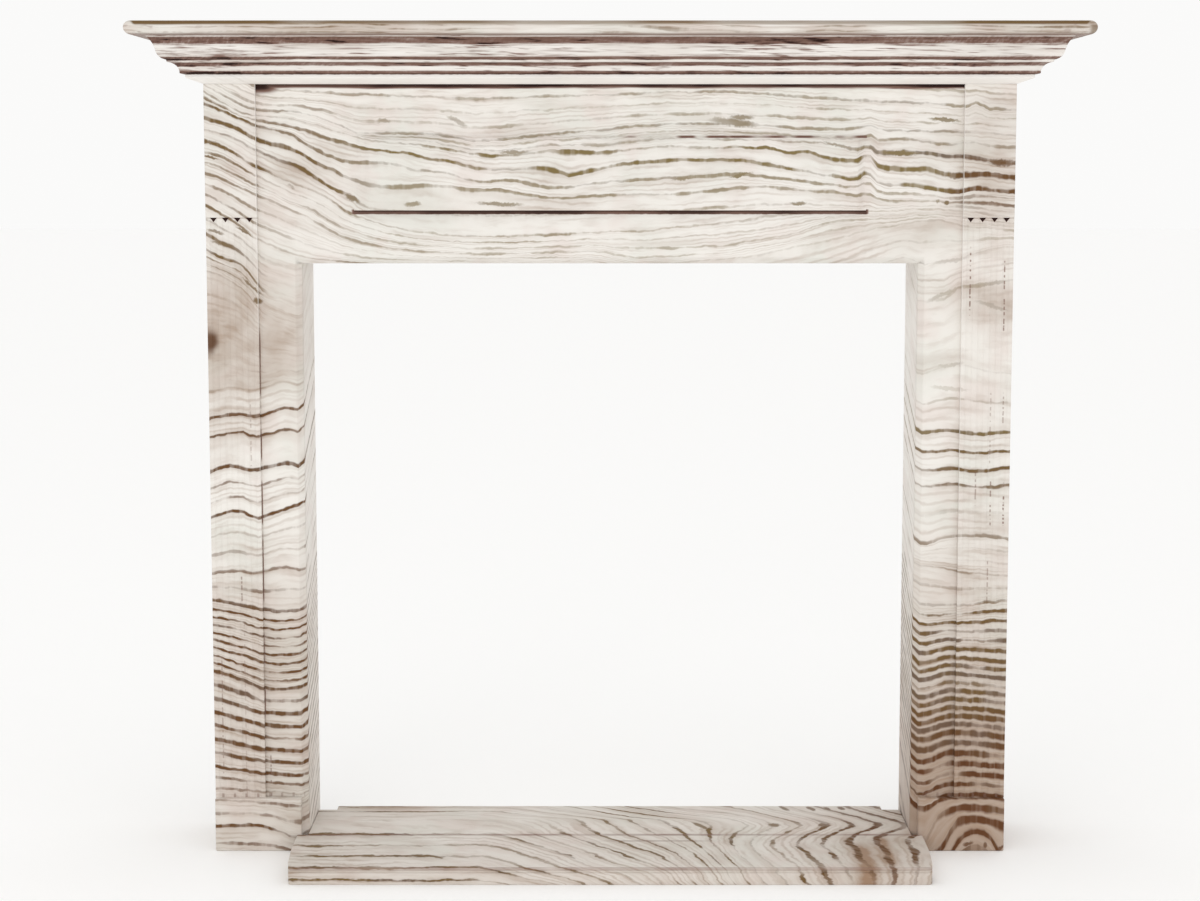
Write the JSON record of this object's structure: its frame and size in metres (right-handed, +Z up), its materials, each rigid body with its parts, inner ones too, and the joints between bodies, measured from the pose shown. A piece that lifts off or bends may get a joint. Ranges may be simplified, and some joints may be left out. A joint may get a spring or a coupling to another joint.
{
  "type": "fireplace mantelpiece",
  "caption": "Limed timber fireplace mantelpiece: moulded shelf, raised frieze tablet, fluted pilasters on plinth blocks and a low hearth around a square opening.",
  "frame": {"origin": "on the floor, at the middle of the bounding box in plan", "axes": "+X to the viewer's right along the shelf, +Y from the front back to the wall, +Z up"},
  "size_m": [1.372, 0.35, 1.223],
  "materials": {
    "limed_wood": "limed open grain, matt",
    "glazed_moulding": "limed with a dark stain left in the hollows",
    "limed_hearth": "limed open grain, matt"
  },
  "bodies": {
    "root": {"mantel_shelf": "limed_wood", "crown_front": "glazed_moulding", "crown_return_left": "glazed_moulding", "crown_return_right": "glazed_moulding", "bed_strip_front": "limed_wood", "bed_strip_left": "limed_wood", "bed_strip_right": "limed_wood", "frieze_board": "limed_wood", "frieze_tablet": "limed_wood", "soffit_board": "limed_wood", "capital_block_left": "limed_wood", "capital_block_right": "limed_wood", "pilaster_shaft_left": "limed_wood", "pilaster_shaft_right": "limed_wood", "plinth_block_left": "limed_wood", "plinth_block_right": "limed_wood", "front_stile_left": "limed_wood", "front_stile_right": "limed_wood", "jamb_lining_left": "limed_wood", "jamb_lining_right": "limed_wood", "side_board_left": "limed_wood", "side_board_right": "limed_wood", "hearth_slab": "limed_hearth", "hearth_inner": "limed_hearth"}
  },
  "joints": []
}
